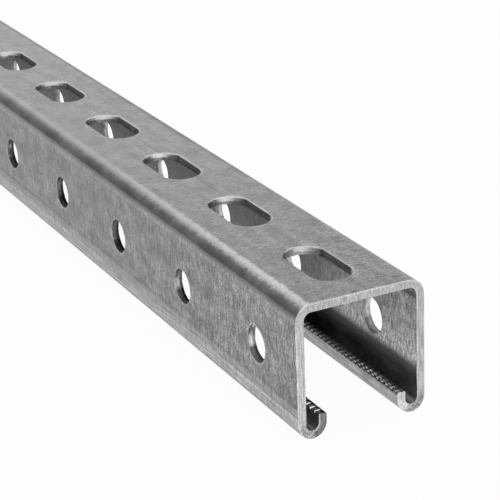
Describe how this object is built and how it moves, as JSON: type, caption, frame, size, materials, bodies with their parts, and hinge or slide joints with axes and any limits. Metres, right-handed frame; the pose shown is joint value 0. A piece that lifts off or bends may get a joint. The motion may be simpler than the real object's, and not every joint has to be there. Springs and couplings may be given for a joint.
{
  "type": "slotted strut channel",
  "caption": "Straight C-section steel strut channel with hooked serrated lips, a slotted web and round holes in both walls.",
  "frame": {"origin": "under the middle of the length, at the level of the feet of the two lips", "axes": "+X along the channel, +Z from the open side to the slotted web, Y across the two walls"},
  "size_m": [1, 0.0412, 0.0413],
  "materials": {
    "zinc_coated_steel": "dull pre-galvanised strip with fine rolling grain, bright sheared edges"
  },
  "bodies": {
    "root": {"strut_channel": "zinc_coated_steel"}
  },
  "joints": []
}
